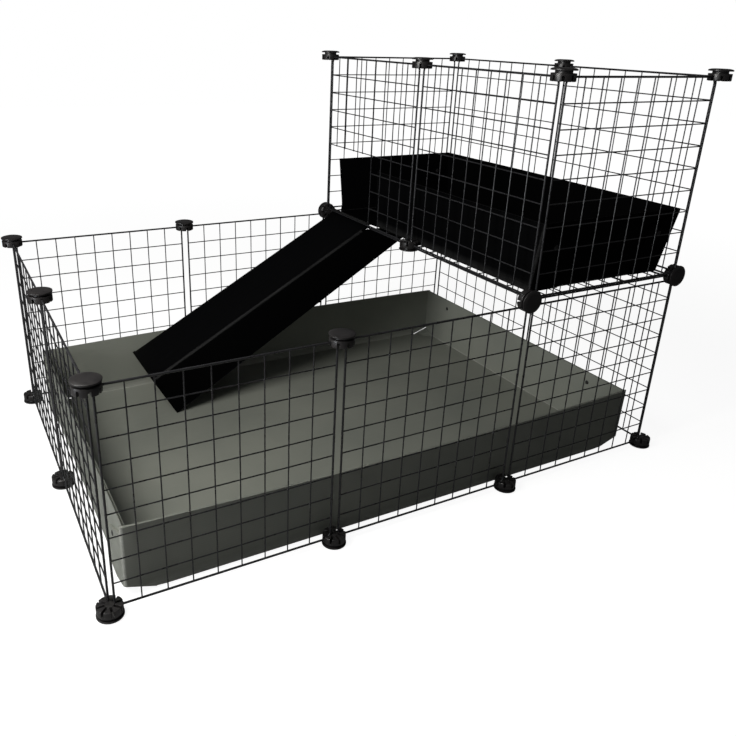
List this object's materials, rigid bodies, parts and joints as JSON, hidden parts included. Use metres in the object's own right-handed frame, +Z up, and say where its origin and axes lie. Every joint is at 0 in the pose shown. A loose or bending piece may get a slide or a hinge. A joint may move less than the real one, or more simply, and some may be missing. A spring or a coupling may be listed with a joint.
{
  "type": "modular small animal cage",
  "caption": "Open-topped wire grid pen with a raised walled loft, folded corrugated plastic trays and a folded ramp up to the loft's doorway.",
  "frame": {"origin": "on the floor under the middle of the cage's plan", "axes": "+X along the cage's long side towards the loft, +Y from the front wall to the back wall, +Z up"},
  "size_m": [1.151, 0.781, 0.752],
  "materials": {
    "wire": "glossy black powder coat on welded steel wire",
    "connector": "moulded black plastic with a soft gloss",
    "base_sheet": "grey-green fluted twin-wall plastic sheet with a slight sheen",
    "loft_sheet": "black fluted twin-wall plastic sheet with a slight sheen",
    "rivet": "black moulded push rivets"
  },
  "bodies": {
    "cage": {"back_panel_1": "wire", "back_panel_2": "wire", "back_panel_3": "wire", "base_tray": "base_sheet", "base_tray_rivets": "rivet", "foot_connector_1": "connector", "foot_connector_10": "connector", "foot_connector_2": "connector", "foot_connector_3": "connector", "foot_connector_4": "connector", "foot_connector_5": "connector", "foot_connector_6": "connector", "foot_connector_7": "connector", "foot_connector_8": "connector", "foot_connector_9": "connector", "front_panel_1": "wire", "front_panel_2": "wire", "front_panel_3": "wire", "left_panel_1": "wire", "left_panel_2": "wire", "loft_back_panel": "wire", "loft_connector_1": "connector", "loft_connector_2": "connector", "loft_connector_3": "connector", "loft_connector_4": "connector", "loft_connector_5": "connector", "loft_connector_6": "connector", "loft_door_panel": "wire", "loft_floor_panel_1": "wire", "loft_floor_panel_2": "wire", "loft_front_panel": "wire", "loft_left_panel": "wire", "loft_right_panel_1": "wire", "loft_right_panel_2": "wire", "right_panel_1": "wire", "right_panel_2": "wire", "rim_connector_1": "connector", "rim_connector_2": "connector", "rim_connector_3": "connector", "rim_connector_4": "connector", "rim_connector_5": "connector", "top_connector_1": "connector", "top_connector_2": "connector", "top_connector_3": "connector", "top_connector_4": "connector", "top_connector_5": "connector", "top_connector_6": "connector"},
    "ramp": {"ramp": "loft_sheet"},
    "loft_tray": {"loft_tray": "loft_sheet", "loft_tray_rivets": "rivet"}
  },
  "joints": [
    {"name": "ramp_lift", "type": "hinge", "parent": "cage", "child": "ramp", "pos_m": [0.185, 0.252, 0.3835], "axis": [0, 1, 0], "range_deg": [0, 110]},
    {"name": "loft_tray_lift", "type": "slide", "parent": "cage", "child": "loft_tray", "axis": [0, 0, 1], "range_m": [0, 0.22]}
  ]
}
